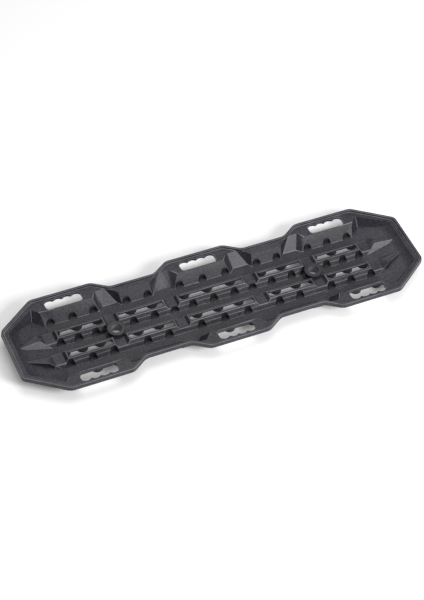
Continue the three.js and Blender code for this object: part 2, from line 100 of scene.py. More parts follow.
# End ramps, and the plans of the walls beside them: the end bay runs on to an angled panel, then the
# walls close in along the ramp.
RAMP_BACK_X = 400
RAMP_START_X = 430
RAMP_SLOPE = 0.215
RAMP_CURL_X = 500          # the ramp steepens from here up to the flange
RAMP_END_X = 532
RAMP_STEPS = 12
RUN_ON_TOP = [(RAMP_BACK_X, WALL_TOP_Y), (440, 107.6), (RAMP_BACK_X, 60), (440, 60)]
RUN_ON_FOOT = [(RAMP_BACK_X, WALL_FOOT_Y), (434, 83.8), (RAMP_BACK_X, 60), (434, 60)]
FUNNEL_TOP = [(RAMP_BACK_X, 60), (440, 107.6), (455, 122.5), (528, 74), (540, 64)]
FUNNEL_FOOT = [(RAMP_BACK_X, 60), (434, 83.8), (459, 103.5), (540, 50)]

# Rounded edges.
EDGE_ROUND = 1.2
EDGE_ROUND_ANGLE = 40      # degrees between faces from which an edge is rounded
EDGE_FLARE = 1
FLARE_PAST = 0.1           # flares and fillets reach this far past the face that they start on
FLAT_ANGLE = 0.02          # degrees up to which facets count as one flat face
DOUBLES_GAP = 0.02
# Each profile below is a list of (rise from the edge's level, inset) steps.
SKIRT_FOOT_ROUND = [(0, -0.4), (0.6, -SKIRT_FLARE)]
OUTER_ROUND = [(-1.2, 0), (-0.4, 0.35), (0, 1.2)]
DISH_FOOT_ROUND = [(0, 2), (0.3, 1.1), (1.1, 0.5)]
LIP_INNER_ROUND = [(-1.2, 0), (-0.4, -0.35), (0.02, -1.2), (CUT, -1.2)]
SLOT_ROUND = [(-1, 0), (-0.3, -0.3), (0.02, -1), (CUT, -1)]
GRIP_ROUND = [(-0.8, 0), (-0.25, -0.25), (0.02, -0.8), (CUT, -0.8)]
BORE_FOOT_ROUND = [(0, -0.6), (0.6, 0)]
BORE_ROUND = [(-1.2, 0), (-0.35, -0.4), (0.01, -1.2), (CUT, -1.2)]
RING_GROOVE = [(0, 2.2), (-0.5, 2.5), (-0.5, 3), (0, 3.3)]
NUT_FOOT_ROUND = [(0, 0.6), (0.6, 0)]
NUT_TOP_ROUND = [(-0.4, 0), (0, 0.4)]

# Ridges.
ROW_Y = 35.2
FOOT_HALF = 23.8
SADDLE_HALF = 17.6
TOP_HALF = 12.6
BLOCK_RUN = 7.5            # slope at each end of a ridge block
BLOCK_EMBED = (2, 1)       # how far a block's foot reaches back and down into the saddle
BLOCK_SPANS = [(-419, -294), (-256, -129), (-91, 91), (129, 256), (294, 419)]
ROW_END_X = 456
ROW_FOOT_RUN = 3           # slope at each end of the saddle
ROW_FILLET_RISE = 1.5
RIDGE_WALL = 3.6
RIDGE_ROOT = 1             # ridges and posts start at this level, inside the floor
SLOT_INNER_Y = 28.2
SLOT_OUTER_Y = 42.4
SLOT_END_MARGIN = 3
SLOT_ROUNDNESS = 0.8       # corner radius as a share of half the slot's width

# Spears at the ends of the rows; a pair of y values is at the inner and at the outer edge.
SPEAR_TOP = 26
SPEAR_FOOT_X = 432
SPEAR_FOOT_Y = (6.5, 63.9)
SPEAR_FOOT_WALL = 1.6      # the hollow's foot draws in by this many walls
SPEAR_FRONT_Y = (18.8, 52.8)
SPEAR_CREST = ((466, 27.3), (467, 47.5))
SPEAR_TIP_X = 526
SPEAR_TIP_WALL = 8         # the hollow's tip draws back by this many walls
SPEAR_TIP_Y = 21.5
SPEAR_TIP_FOOT_Y = 25

# Scoops.
SCOOP_FOOT_RADIUS = 12.5
SCOOP_TOP_RADIUS = 14.5
SCOOP_SETBACK = 3.5        # the scoop's axis stands this far in front of the foot of its wall
SCOOP_WALL = 3.2
SCOOP_FILLET = 1.6
SCOOP_SEGMENTS = 40
SCOOP_SKIN_SEGMENTS = 24
SCOOP_MARGIN = 0.5         # faces this far outside a scoop's top radius still belong to it
SCOOP_FLOOR_MARGIN = 0.2   # and only above this distance from the floor
INNER_SCOOPS_X = [0, 57.5, 108.5, 163, 219.5, 321, 368, 415]
OUTER_SCOOPS_X = [0, 64, 153, 210.5, 300.5, 357, 415.5]

# Grips.
GRIP_CENTRES_X = [-368, 0, 368]
GRIP_HALF_LENGTH = 49
GRIP_INNER_Y = 107.5
GRIP_OUTER_Y = 137.5
GRIP_RADIUS = 10
LOBE_COUNT = 4
LOBE_PITCH = 23.8
LOBE_DEPTH = 4.5
LOBE_STEPS = 8
SHOULDER_SHARE = 0.6       # the straight ends stop this share of the radius short of the lobes
COLLAR_WALL = 3
GRIP_CUT_LOW = 10
GUSSET_OFFSET_X = 62
GUSSET_THICKNESS = 3
GUSSET_PROFILE = [(86, 6), (88, 6), (143, 32), (143, 34.7), (100, 34.7)]
GROUND_MARGIN = 5
GROUND_DEPTH = 20

# Bushings and nuts.
BUSHING_X = 274
BORE_RADIUS = 14.3
SLEEVE_RADIUS = 16.4
FLANGE_RADIUS = 24
FLANGE_THICKNESS = 4
FLANGE_CHAMFER = 0.5
BUSHING_TOP = 27
POST_RADIUS = 20
POST_DRAFT = 0.8           # the post is this much thicker at its foot
BASE_RADIUS = 25.5
BASE_TOP = 7.5
NUT_RADIUS = 22
NUT_LOW = 0.6
NUT_HIGH = 4.4
NUT_NOTCHES = 4
NOTCH_DEPTH = 2
NOTCH_HALF_WIDTH = 2.5
GAP = 0.3
ROUND_SEGMENTS = 96

# Finish. The mould's spark-eroded grain is about 0.5 mm, drawn 4.5 mm wide so that it shows.
GRAIN_SCALE = 1000 / 4.5
CLOUD_SCALE = 1000 / 45
GRAIN_SHARE = 0.8          # how much of the tone follows the grain, and the rest the clouds
TONE_RANGE = (0.41, 0.59)  # noise values that give the dark and the light tone
GLOSS_SPREAD = 0.06
NYLON_IOR = 1.53
HIGHLIGHT_FACE_WIDTH = 1.1           # faces narrower than this, and longer than the next value, get a painted highlight
HIGHLIGHT_FACE_LENGTH = 3
# colour of the painted highlight on narrow edge faces
EDGE_HIGHLIGHT_TONE = "#85828c"
# colour of the painted shade inside the scoops
SCOOP_SHADE_TONE = "#0b0b0d"
SMOOTH_ANGLE = 30

# Studio, in metres and degrees.
PAPER_SIZE = 14
PAPER_DROP = 0.0005
CAMERA_AZIMUTH = -27.63
CAMERA_ELEVATION = 48.78
CAMERA_ROLL = 5.01
CAMERA_DISTANCE = 4.65
CAMERA_LENS = 110.7        # millimetres, on a sensor 36 mm wide
SENSOR_WIDTH = 36
CAMERA_TARGET = (-0.0205, -0.0148, 0.044)


def deselect_all():
    if bpy.context.mode != "OBJECT":
        bpy.ops.object.mode_set(mode="OBJECT")
    bpy.ops.object.select_all(action="DESELECT")


def activate(piece):
    deselect_all()
    piece.select_set(True)
    bpy.context.view_layer.objects.active = piece


def face_outwards(piece):
    activate(piece)
    bpy.ops.object.mode_set(mode="EDIT")
    bpy.ops.mesh.select_all(action="SELECT")
    bpy.ops.mesh.normals_make_consistent(inside=False)
    bpy.ops.object.mode_set(mode="OBJECT")


def stack(name, ring_at, levels):
    """A solid drawn up through (height, inset) levels; ring_at(inset) gives its outline there."""
    deselect_all()
    first_height, first_inset = levels[0]
    ring = ring_at(first_inset)
    bpy.ops.mesh.primitive_circle_add(vertices=len(ring), fill_type="NGON")
    piece = bpy.context.object
    piece.name = name
    bpy.ops.object.mode_set(mode="EDIT")
    mesh = bmesh.from_edit_mesh(piece.data)
    place = mesh.verts.layers.int.new("place")
    for index, vertex in enumerate(mesh.verts):
        vertex[place] = index
        vertex.co = Vector((*ring[index], first_height)) * MM
    for height, inset in levels[1:]:
        bpy.ops.mesh.extrude_region_move()
        ring = ring_at(inset)
        mesh = bmesh.from_edit_mesh(piece.data)
        place = mesh.verts.layers.int["place"]
        for vertex in mesh.verts:
            if vertex.select:
                vertex.co = Vector((*ring[vertex[place]], height)) * MM
        bmesh.update_edit_mesh(piece.data)
    face_outwards(piece)
    return piece


def hull(name, points, edge_round=0):
    """The convex solid around points, with its sharper edges rounded."""
    deselect_all()
    mesh = bpy.data.meshes.new(name)
    mesh.from_pydata([Vector(point) * MM for point in points], [], [])
    piece = bpy.data.objects.new(name, mesh)
    bpy.context.collection.objects.link(piece)
    activate(piece)
    bpy.ops.object.mode_set(mode="EDIT")
    bpy.ops.mesh.select_all(action="SELECT")
    bpy.ops.mesh.convex_hull(join_triangles=False)
    bpy.ops.mesh.select_all(action="SELECT")
    bpy.ops.mesh.dissolve_limited(angle_limit=math.radians(FLAT_ANGLE))
    bpy.ops.object.mode_set(mode="OBJECT")
    face_outwards(piece)
    if edge_round:
        soften(piece, edge_round)
    return piece


def block(name, low, high):
    """A box between two corners."""
    deselect_all()
    centre = [(a + b) / 2 * MM for a, b in zip(low, high)]
    size = [(b - a) * MM for a, b in zip(low, high)]
    bpy.ops.mesh.primitive_cube_add(size=1, location=centre, scale=size)
    piece = bpy.context.object
    piece.name = name
    bpy.ops.object.transform_apply(location=True, rotation=True, scale=True)
    return piece


def cone(name, x, y, low, high, low_radius, high_radius, segments):
    """An upright round solid."""
    deselect_all()
    bpy.ops.mesh.primitive_cone_add(
        vertices=segments, radius1=low_radius * MM, radius2=high_radius * MM, depth=(high - low) * MM,
        location=(x * MM, y * MM, (low + high) / 2 * MM))
    piece = bpy.context.object
    piece.name = name
    bpy.ops.object.transform_apply(location=True, rotation=True, scale=True)
    return piece


def merge(pieces):
    """Joins pieces that don't touch into one object."""
    activate(pieces[0])
    for piece in pieces:
        piece.select_set(True)
    bpy.ops.object.join()
    return bpy.context.object


def carve(base, tool, operation):
    """Joins, cuts or keeps what is common, and uses the tool up."""
    activate(base)
    modifier = base.modifiers.new("carve", "BOOLEAN")
    modifier.operation = operation
    modifier.solver = "MANIFOLD"
    modifier.object = tool
    bpy.ops.object.modifier_apply(modifier=modifier.name)
    bpy.data.objects.remove(tool, do_unlink=True)
    return base


def join_all(pieces):
    base = pieces[0]
    for piece in pieces[1:]:
        carve(base, piece, "UNION")
    return base


def tidy(piece):
    """Merges flat facets into whole faces and closes up doubled points."""
    activate(piece)
    bpy.ops.object.mode_set(mode="EDIT")
    bpy.ops.mesh.select_all(action="SELECT")
    bpy.ops.mesh.remove_doubles(threshold=DOUBLES_GAP * MM)
    bpy.ops.mesh.select_all(action="SELECT")
    bpy.ops.mesh.dissolve_limited(angle_limit=math.radians(FLAT_ANGLE))
    bpy.ops.object.mode_set(mode="OBJECT")
    return piece


def soften(piece, width, segments=2):
    """Rounds the sharper edges of a piece."""
    activate(piece)
    modifier = piece.modifiers.new("soften", "BEVEL")
    modifier.width = width * MM
    modifier.segments = segments
    modifier.limit_method = "ANGLE"
    modifier.angle_limit = math.radians(EDGE_ROUND_ANGLE)
    bpy.ops.object.modifier_apply(modifier=modifier.name)
    return piece


def inset_corners(corners, distance):
    """An anticlockwise outline moved inwards by a distance."""
    lines = []
    for index, corner in enumerate(corners):
        start = Vector(corner)
        along = (Vector(corners[(index + 1) % len(corners)]) - start).normalized()
        lines.append((start + Vector((-along.y, along.x)) * distance, along))
    moved = []
    for index, (point, along) in enumerate(lines):
        before_point, before_along = lines[index - 1]
        gap = point - before_point
        share = gap.cross(along) / before_along.cross(along)
        moved.append(tuple(before_point + before_along * share))
    return moved


def rounded(corners, radius, steps=CORNER_STEPS):
    """The outline with a curve at each corner."""
    ring = []
    for index, corner in enumerate(corners):
        here = Vector(corner)
        start = here + (Vector(corners[index - 1]) - here).normalized() * radius
        end = here + (Vector(corners[(index + 1) % len(corners)]) - here).normalized() * radius
        for step in range(steps + 1):
            t = step / steps
            ring.append(tuple(start * (1 - t) ** 2 + here * 2 * t * (1 - t) + end * t ** 2))
    return ring


def outer_corners():
    backwards = OUTLINE_QUARTER[::-1]
    return (
        OUTLINE_QUARTER
        + [(-x, y) for x, y in backwards]
        + [(-x, -y) for x, y in OUTLINE_QUARTER]
        + [(x, -y) for x, y in backwards]
    )


def rim_ring(inset):
    return rounded(inset_corners(outer_corners(), inset), OUTLINE_RADIUS)


def at_level(outline, height):
    return [(x, y, height) for x, y in outline]


def grown(points, margin):
    """The points moved out all round, for the skin around a hull."""
    if margin == 0:
        return points
    return [(x + dx * margin, y + dy * margin, z) for x, y, z in points for dx in BOTH for dy in BOTH]


def placed(outline, end, side):
    return [(end * x, side * y) for x, y in outline]


def ramp_height(x):
    straight = FLOOR_TOP + RAMP_SLOPE * (x - RAMP_START_X)
    reach = max(0, x - RAMP_CURL_X) / (RAMP_END_X - RAMP_CURL_X)
    curl = FLANGE_TOP - FLOOR_TOP - RAMP_SLOPE * (RAMP_END_X - RAMP_START_X)
    return straight + curl * reach * reach


def ramp_space(end, drop):
    """The space over a ramp, as a side view drawn out across the board."""
    profile = [(RAMP_BACK_X, FLOOR_TOP - drop), (RAMP_START_X, FLOOR_TOP - drop)]
    for step in range(RAMP_STEPS + 1):
        x = RAMP_CURL_X + (RAMP_END_X - RAMP_CURL_X) * step / RAMP_STEPS
        profile.append((x, ramp_height(x) - drop))
    profile += [(RAMP_END_X, LIP_TOP + CUT), (RAMP_BACK_X, LIP_TOP + CUT)]
    piece = stack("ramp_space", lambda inset: profile, [(-HALF_WIDTH, 0), (HALF_WIDTH, 0)])
    lean = Matrix.Rotation(math.pi / 2, 4, "X")
    if end < 0:
        lean = Matrix.Rotation(math.pi, 4, "Z") @ lean
    piece.data.transform(lean)
    return piece


def part_way(top, foot, height):
    """The plan at a height, between the top of the walls and their foot."""
    share = (FLANGE_TOP - height) / (FLANGE_TOP - FLOOR_TOP)
    return [(x + (foot_x - x) * share, y + (foot_y - y) * share)
            for (x, y), (foot_x, foot_y) in zip(top, foot)]


def flare(top, foot):
    """A chamfer where the flange turns down into a wall."""
    low = at_level(part_way(top, foot, FLANGE_TOP - EDGE_FLARE), FLANGE_TOP - EDGE_FLARE)
    return hull("flare", low + grown(at_level(top, FLANGE_TOP + FLARE_PAST), EDGE_FLARE))


def leaning_points(top, foot, drop, top_height, edge_round):
    """Corners of a space whose walls lean out; a rounded one stands upright from the flange."""
    lean_end = FLANGE_TOP if edge_round else top_height
    return at_level(top, lean_end) + at_level(top, top_height) + at_level(foot, FLOOR_TOP - drop)


def bay(name, top, foot, margin, drop, top_height, edge_round):
    """One bay of the trough, with a chamfer under the flange where edges are rounded."""
    points = leaning_points(top, foot, drop, top_height, edge_round)
    pieces = [hull(name, grown(points, margin), edge_round)]
    if edge_round:
        pieces.append(flare(top, foot))
    return pieces


def end_pieces(end, margin, drop, top_height, edge_round):
    """The walls at the trough's end, down to the ramp."""
    pieces = []
    funnel = []
    for side in BOTH:
        pieces += bay("run_on", placed(RUN_ON_TOP, end, side), placed(RUN_ON_FOOT, end, side), margin, drop,
                      top_height, edge_round)
        funnel += leaning_points(placed(FUNNEL_TOP, end, side), placed(FUNNEL_FOOT, end, side), drop,
                                 top_height, edge_round)
    pieces.append(hull("end_funnel", grown(funnel, margin), edge_round))
    for piece in pieces:
        carve(piece, ramp_space(end, drop), "INTERSECT")
    return pieces


def waist_pieces(end, side, margin, drop, top_height, edge_round):
    """The waist wall stops at a ledge that slopes up to the lip."""
    foot = placed(WAIST_FOOT, end, side)
    inner = placed(LEDGE_INNER, end, side)
    outer = placed(LEDGE_OUTER, end, side)
    wall = at_level(foot, FLOOR_TOP - drop) + at_level(inner, LEDGE_Z)
    if edge_round:
        wall += at_level(inner, top_height)
    ledge = at_level(inner, LEDGE_Z - drop) + at_level(outer, FLANGE_TOP - drop)
    ledge += at_level(inner + outer, max(top_height, FLANGE_TOP - drop + CUT))
    return [hull("waist_wall", grown(wall, margin), edge_round), hull("ledge", grown(ledge, margin))]


def trough_pieces(margin, drop, top_height, edge_round=0):
    """The space that a tyre rolls through, or with a margin and a drop the skin around it."""
    pieces = [block("core", (-RAMP_START_X, -CORE_HALF_WIDTH, FLOOR_TOP - drop),
                    (RAMP_START_X, CORE_HALF_WIDTH, top_height))]
    for end in BOTH:
        for side in BOTH:
            for top, foot in BAYS:
                pieces += bay("bay", placed(top, end, side), placed(foot, end, side), margin, drop,
                              top_height, edge_round)
            pieces += waist_pieces(end, side, margin, drop, top_height, edge_round)
        pieces += end_pieces(end, margin, drop, top_height, edge_round)
    return pieces


def in_both_rows(name, points, edge_round, ends=BOTH):
    return [
        hull(name, [(end * x, side * y, z) for x, y, z in points], edge_round)
        for end in ends for side in BOTH
    ]


def saddle_points(wall, low):
    """The low ridge that runs the whole row."""
    lean = (FOOT_HALF - SADDLE_HALF) / (SADDLE_TOP - FLOOR_TOP)
    foot_half = FOOT_HALF + lean * (FLOOR_TOP - low) - wall
    saddle_half = SADDLE_HALF - wall
    end_x = ROW_END_X - wall
    points = []
    for way in BOTH:
        for across in BOTH:
            points.append((way * (end_x + ROW_FOOT_RUN), ROW_Y + across * foot_half, low))
            points.append((way * end_x, ROW_Y + across * saddle_half, SADDLE_TOP - wall))
    return points


def spear_points(wall, low):
    """A steep front with a broad inner facet, then a crest that narrows to a point on the ramp."""
    front_x = ROW_END_X + wall
    foot_x = SPEAR_FOOT_X + wall
    foot_wall = SPEAR_FOOT_WALL * wall
    tip_x = SPEAR_TIP_X - SPEAR_TIP_WALL * wall
    (inner_x, inner_y), (outer_x, outer_y) = SPEAR_CREST
    return [
        (front_x, SPEAR_FRONT_Y[0] + wall, SADDLE_TOP - wall),
        (front_x, SPEAR_FRONT_Y[1] - wall, SADDLE_TOP - wall),
        (inner_x + wall, inner_y + wall, SPEAR_TOP - wall),
        (outer_x + wall, outer_y - wall, SPEAR_TOP - wall),
        (tip_x, SPEAR_TIP_Y + wall, SPEAR_TOP - wall),
        (tip_x, SPEAR_TIP_FOOT_Y, low),
        (foot_x, SPEAR_FOOT_Y[0] + foot_wall, low),
        (foot_x, SPEAR_FOOT_Y[1] - foot_wall, low),
    ]


def foot_fillet_points(low):
    """A chamfer where the saddle meets the floor."""
    points = []
    for way in BOTH:
        for across in BOTH:
            outer_x = way * (ROW_END_X + ROW_FOOT_RUN + EDGE_FLARE)
            inner_x = way * (ROW_END_X + ROW_FOOT_RUN - EDGE_FLARE)
            outer_y = ROW_Y + across * (FOOT_HALF + EDGE_FLARE)
            inner_y = ROW_Y + across * (FOOT_HALF - EDGE_FLARE)
            points.append((outer_x, outer_y, FLOOR_TOP - FLARE_PAST))
            points.append((inner_x, inner_y, FLOOR_TOP + ROW_FILLET_RISE))
            points.append((outer_x, outer_y, low))
    return points


def block_points(span, wall):
    """A tall block that stands on the saddle."""
    back, down = BLOCK_EMBED
    points = []
    for out, x in zip(BOTH, span):
        top_x = x - out * wall
        low_x = top_x + out * BLOCK_RUN
        for across in BOTH:
            low_y = ROW_Y + across * (SADDLE_HALF - wall)
            points.append((top_x, ROW_Y + across * (TOP_HALF - wall), RIDGE_TOP - wall))
            points.append((low_x, low_y, SADDLE_TOP - wall))
            points.append((low_x - out * back, low_y, SADDLE_TOP - wall - down))
    return points


def ridge_pieces(wall, low, edge_round=0):
    """Both rows of ridges, solid, or with a wall taken off the hollow inside them."""
    pieces = in_both_rows("saddle", saddle_points(wall, low), edge_round, [1])
    pieces += in_both_rows("spear", spear_points(wall, low), edge_round / 2)
    if edge_round:
        pieces += in_both_rows("foot_fillet", foot_fillet_points(low), 0, [1])
    for span in BLOCK_SPANS:
        pieces += in_both_rows("ridge", block_points(span, wall), edge_round, [1])
    return pieces


def mirrored(places):
    return sorted({way * x for x in places for way in BOTH})


def scoop_rows():
    """Each straight row of scoops as (y of the axis, its x places, whether it bites a trough wall)."""
    rows = []
    for side in BOTH:
        rows.append((side * (ROW_Y - FOOT_HALF - SCOOP_SETBACK), mirrored(INNER_SCOOPS_X), False))
        rows.append((side * (ROW_Y + FOOT_HALF + SCOOP_SETBACK), mirrored(OUTER_SCOOPS_X), False))
        rows.append((side * (WALL_FOOT_Y - SCOOP_SETBACK), mirrored(OUTER_SCOOPS_X), True))
    return rows


def scoop(x, y, extra, low, segments):
    return cone("scoop", x, y, low, RIDGE_TOP + CUT + extra, SCOOP_FOOT_RADIUS + extra,
                SCOOP_TOP_RADIUS + extra, segments)


def scoop_skin_row(y, places, low):
    """The skin behind a row of scoops."""
    return merge([scoop(x, y, SCOOP_WALL, low, SCOOP_SKIN_SEGMENTS) for x in places])


def rounded_scoop_row(y, places):
    """Cutters for a row of scoops, with a fillet round the floor of each."""
    return merge([soften(scoop(x, y, 0, FLOOR_TOP, SCOOP_SEGMENTS), SCOOP_FILLET) for x in places])


def slot_ring(start, end, side):
    radius = (SLOT_OUTER_Y - SLOT_INNER_Y) / 2

    def ring(inset):
        corners = [
            (start + SLOT_END_MARGIN + inset, SLOT_INNER_Y + inset),
            (end - SLOT_END_MARGIN - inset, SLOT_INNER_Y + inset),
            (end - SLOT_END_MARGIN - inset, SLOT_OUTER_Y - inset),
            (start + SLOT_END_MARGIN + inset, SLOT_OUTER_Y - inset),
        ]
        outline = rounded(corners, radius * SLOT_ROUNDNESS - inset)
        return [(x, side * y) for x, y in outline]

    return ring


def grip_ring(centre, side):
    """A grip hole: straight towards the trough, finger lobes on the outside."""

    def ring(inset):
        half = GRIP_HALF_LENGTH - inset
        inner = GRIP_INNER_Y + inset
        outer = GRIP_OUTER_Y - inset
        shoulder = outer - LOBE_DEPTH - GRIP_RADIUS * SHOULDER_SHARE
        points = []
        for lobe in range(LOBE_COUNT):
            middle = ((LOBE_COUNT - 1) / 2 - lobe) * LOBE_PITCH
            for step in range(LOBE_STEPS + 1):
                across = 1 - 2 * step / LOBE_STEPS
                x = (middle + across * LOBE_PITCH / 2) * half / GRIP_HALF_LENGTH
                points.append((x, outer - LOBE_DEPTH * across * across))
        start = rounded([(-half, shoulder), (-half, inner), (half, inner), (half, shoulder)], GRIP_RADIUS)
        low_turns = start[CORNER_STEPS + 1:3 * (CORNER_STEPS + 1)]
        outline = [(-half, shoulder)] + low_turns + [(half, shoulder)] + points
        return [(centre + x, side * y) for x, y in outline]

    return ring


def circle_ring(x, radius):
    def ring(inset):
        r = radius - inset
        turns = [math.tau * step / ROUND_SEGMENTS for step in range(ROUND_SEGMENTS)]
        return [(x + r * math.cos(turn), r * math.sin(turn)) for turn in turns]

    return ring


def edge_steps(level, profile, inset=0):
    """The levels of a rounded edge that ends at a height and an inset."""
    return [(level + rise, inset + step) for rise, step in profile]


def rim():
    """Skirt, flange and lip, with the lip's outer edge rounded and the skirt leaning out a little."""
    levels = edge_steps(SKIRT_BOTTOM, SKIRT_FOOT_ROUND) + edge_steps(LIP_TOP, OUTER_ROUND)
    whole = stack("board", rim_ring, levels)
    under_levels = [(SKIRT_BOTTOM - CUT, SKIRT_WALL - SKIRT_FLARE), (FLANGE_BOTTOM, SKIRT_WALL)]
    return carve(whole, stack("under", rim_ring, under_levels), "DIFFERENCE")


def gussets():
    pieces = []
    half = GUSSET_THICKNESS / 2
    for centre in GRIP_CENTRES_X:
        for end in BOTH:
            for side in BOTH:
                x = centre + end * GUSSET_OFFSET_X
                points = [(x + way * half, side * y, z) for y, z in GUSSET_PROFILE for way in BOTH]
                pieces.append(hull("gusset", points))
    return pieces


def post(name, end, low, high, low_radius, high_radius):
    """A round solid on the axis of a bushing."""
    return cone(name, end * BUSHING_X, 0, low, high, low_radius, high_radius, ROUND_SEGMENTS)


def tyre_space():
    """All that the tyre side leaves open: the dish inside the lip, the trough and the scoops."""
    space = join_all(trough_pieces(0, 0, BAY_TOP, EDGE_ROUND))
    levels = edge_steps(FLANGE_TOP, DISH_FOOT_ROUND, LIP_WIDTH)
    levels += edge_steps(LIP_TOP, LIP_INNER_ROUND, LIP_WIDTH)
    carve(space, stack("dish", rim_ring, levels), "UNION")
    for ridge in ridge_pieces(0, RIDGE_ROOT, EDGE_ROUND):
        carve(space, ridge, "DIFFERENCE")
    post_top = BUSHING_TOP - FLANGE_THICKNESS - GAP
    foot_radius = POST_RADIUS + POST_DRAFT
    for end in BOTH:
        carve(space, post("post", end, RIDGE_ROOT, post_top, foot_radius, POST_RADIUS), "DIFFERENCE")
        carve(space, post("post_base", end, RIDGE_ROOT, BASE_TOP, BASE_RADIUS, BASE_RADIUS), "DIFFERENCE")
    for y, places, _ in scoop_rows():
        carve(space, rounded_scoop_row(y, places), "UNION")
    return space


def under_hollows():
    """Insides of the ridges, open to the ground, less the skin behind each scoop."""
    hollows = join_all(ridge_pieces(RIDGE_WALL, -CUT))
    for y, places, bites_wall in scoop_rows():
        if not bites_wall:
            carve(hollows, scoop_skin_row(y, places, -2 * CUT), "DIFFERENCE")
    for end in BOTH:
        carve(hollows, post("post", end, -2 * CUT, RIDGE_TOP + CUT, BASE_RADIUS, BASE_RADIUS), "DIFFERENCE")
    return hollows


def add_wall_skins(board):
    """The skin around the trough, and behind the scoops in its walls."""
    for piece in trough_pieces(SHELL, FLOOR_TOP, SKIN_TOP):
        carve(board, piece, "UNION")
    for y, places, bites_wall in scoop_rows():
        if bites_wall:
            carve(board, scoop_skin_row(y, places, 0), "UNION")


def add_grip_supports(board):
    """Gussets under the flange, and a collar around each grip hole."""
    for piece in gussets():
        carve(board, piece, "UNION")
    for centre in GRIP_CENTRES_X:
        for side in BOTH:
            levels = [(SKIRT_BOTTOM, -COLLAR_WALL), (SKIN_TOP, -COLLAR_WALL)]
            carve(board, stack("collar", grip_ring(centre, side), levels), "UNION")


def cut_slots(board):
    levels = [(RIDGE_TOP - RIDGE_WALL - CUT, 0)] + edge_steps(RIDGE_TOP, SLOT_ROUND)
    for start, end in BLOCK_SPANS:
        for side in BOTH:
            carve(board, stack("slot", slot_ring(start, end, side), levels), "DIFFERENCE")


def cut_grips(board):
    levels = [(GRIP_CUT_LOW, 0)] + edge_steps(FLANGE_TOP, GRIP_ROUND)
    for centre in GRIP_CENTRES_X:
        for side in BOTH:
            carve(board, stack("grip", grip_ring(centre, side), levels), "DIFFERENCE")


def cut_bores(board):
    """A bore through each post for the sleeve, with a recess below for the nut."""
    sleeve_room = SLEEVE_RADIUS + GAP
    nut_room = NUT_RADIUS + GAP
    for end in BOTH:
        carve(board, post("bore", end, -CUT, RIDGE_TOP + CUT, sleeve_room, sleeve_room), "DIFFERENCE")
        carve(board, post("recess", end, -CUT, NUT_HIGH + GAP, nut_room, nut_room), "DIFFERENCE")


def make_board():
    board = rim()
    add_wall_skins(board)
    add_grip_supports(board)
    ground = block("ground", (-HALF_LENGTH - GROUND_MARGIN, -HALF_WIDTH - GROUND_MARGIN, -GROUND_DEPTH),
                   (HALF_LENGTH + GROUND_MARGIN, HALF_WIDTH + GROUND_MARGIN, 0))
    carve(board, ground, "DIFFERENCE")
    carve(board, tyre_space(), "DIFFERENCE")
    carve(board, under_hollows(), "DIFFERENCE")
    cut_slots(board)
    cut_grips(board)
    cut_bores(board)
    return tidy(board)


def make_bushing(name, x):
    """A flanged sleeve, with a shallow groove round the top of its ring."""
    low = BUSHING_TOP - FLANGE_THICKNESS
    sleeve = FLANGE_RADIUS - SLEEVE_RADIUS
    levels = [(NUT_LOW, sleeve + FLANGE_CHAMFER), (NUT_LOW + FLANGE_CHAMFER, sleeve), (low, sleeve),
              (low, FLANGE_CHAMFER), (low + FLANGE_CHAMFER, 0)]
    levels += edge_steps(BUSHING_TOP, OUTER_ROUND) + edge_steps(BUSHING_TOP, RING_GROOVE)
    body = stack(name, circle_ring(x, FLANGE_RADIUS), levels)
    levels = [(0, BORE_FOOT_ROUND[0][1])] + edge_steps(NUT_LOW, BORE_FOOT_ROUND)
    levels += edge_steps(BUSHING_TOP, BORE_ROUND)
    carve(body, stack("bore", circle_ring(x, BORE_RADIUS), levels), "DIFFERENCE")
    return tidy(body)


def make_nut(name, x):
    """A ring nut on the sleeve's lower end, with notches for a pin wrench."""
    levels = edge_steps(NUT_LOW, NUT_FOOT_ROUND) + edge_steps(NUT_HIGH, NUT_TOP_ROUND)
    body = stack(name, circle_ring(x, NUT_RADIUS), levels)
    bore_levels = [(0, 0), (NUT_HIGH + CUT, 0)]
    carve(body, stack("bore", circle_ring(x, SLEEVE_RADIUS + GAP), bore_levels), "DIFFERENCE")
    for index in range(NUT_NOTCHES):
        notch = block("notch", (NUT_RADIUS - NOTCH_DEPTH, -NOTCH_HALF_WIDTH, 0),
                      (NUT_RADIUS + CUT, NOTCH_HALF_WIDTH, NUT_HIGH + CUT))
        notch.data.transform(Matrix.Rotation(math.tau * index / NUT_NOTCHES, 4, "Z"))
        notch.data.transform(Matrix.Translation((x * MM, 0, 0)))
        carve(body, notch, "DIFFERENCE")
    return tidy(body)


def smooth(piece):
    """Smooth shading that keeps flat faces flat and runs only round the rounded edges."""
    activate(piece)
    bpy.ops.object.shade_smooth_by_angle(angle=math.radians(SMOOTH_ANGLE))
    modifier = piece.modifiers.new("flat_faces", "WEIGHTED_NORMAL")
    modifier.keep_sharp = True
    modifier.weight = 100
    bpy.ops.object.modifier_apply(modifier=modifier.name)


def linear(hex_colour):
    """An sRGB hex colour as linear red, green, blue and alpha."""
    channels = [int(hex_colour[i:i + 2], 16) / 255 for i in (1, 3, 5)]
    return [c / 12.92 if c <= 0.04045 else ((c + 0.055) / 1.055) ** 2.4 for c in channels] + [1.0]


def add_node(tree, kind, settings=None, links=None):
    """Adds a node; settings are properties or input values, links are input name to output socket."""
    node = tree.nodes.new(kind)
    for key, value in (settings or {}).items():
        if hasattr(node, key):
            setattr(node, key, value)
        else:
            node.inputs[key].default_value = value
    for key, socket in (links or {}).items():
        tree.links.new(socket, node.inputs[key])
    return node


def new_material(name):
    material = bpy.data.materials.new(name)
    material.use_nodes = True
    tree = material.node_tree
    tree.nodes.clear()
    return material, tree


def mark_faces(piece, attribute, belongs):
    """Writes 1 on the corners of the faces that belong, and 0 on the others."""
    values = []
    for face in piece.data.polygons:
        values += [float(belongs(face))] * len(face.vertices)
    piece.data.attributes.new(attribute, "FLOAT", "CORNER").data.foreach_set("value", values)


